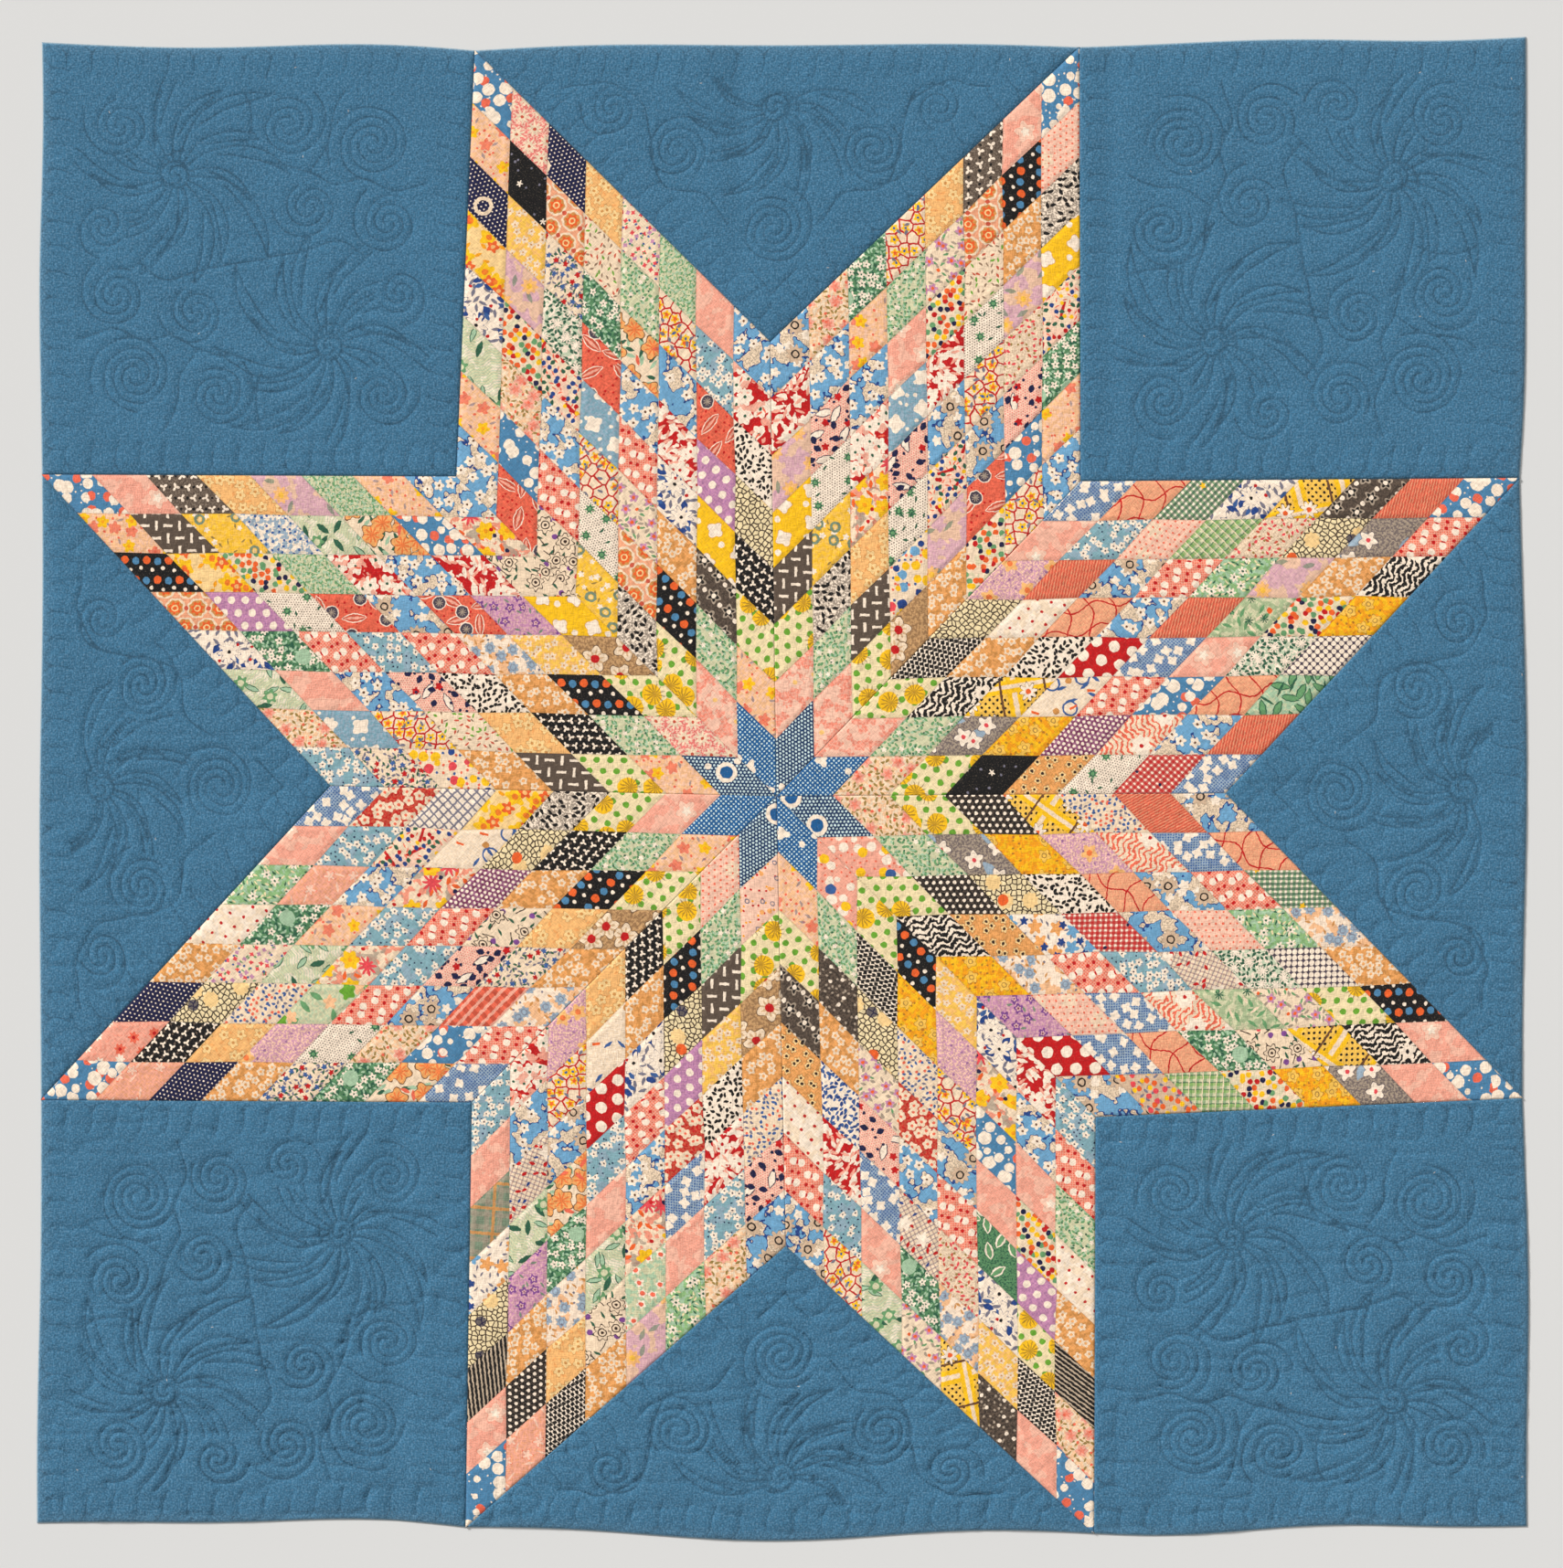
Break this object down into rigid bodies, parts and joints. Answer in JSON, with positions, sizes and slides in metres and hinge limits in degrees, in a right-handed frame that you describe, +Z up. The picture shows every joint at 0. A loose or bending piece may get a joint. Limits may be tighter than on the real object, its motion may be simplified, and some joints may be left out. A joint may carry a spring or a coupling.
{
  "type": "star quilt",
  "caption": "Pieced and quilted cotton throw, laid flat: a large diamond patchwork star on blue corner squares and side triangles.",
  "frame": {"origin": "under the middle of the quilt's box, on the surface it lies on", "axes": "+Z up out of the pieced face, +Y towards the side that the picture shows at its top, +X to the right"},
  "size_m": [1.5364, 1.5494, 0.0049],
  "materials": {
    "pieced_cotton": "printed quilting cottons pieced in small diamonds, matt, lightly puckered along the seams",
    "blue_cotton": "plain blue cotton with a fine slubby weave, matt, quilted in the same colour"
  },
  "bodies": {
    "root": {"star_point_nne": "pieced_cotton", "star_point_ene": "pieced_cotton", "star_point_ese": "pieced_cotton", "star_point_sse": "pieced_cotton", "star_point_ssw": "pieced_cotton", "star_point_wsw": "pieced_cotton", "star_point_wnw": "pieced_cotton", "star_point_nnw": "pieced_cotton", "corner_square_nw": "blue_cotton", "corner_square_ne": "blue_cotton", "corner_square_se": "blue_cotton", "corner_square_sw": "blue_cotton", "side_triangle_n": "blue_cotton", "side_triangle_e": "blue_cotton", "side_triangle_s": "blue_cotton", "side_triangle_w": "blue_cotton"}
  },
  "joints": []
}
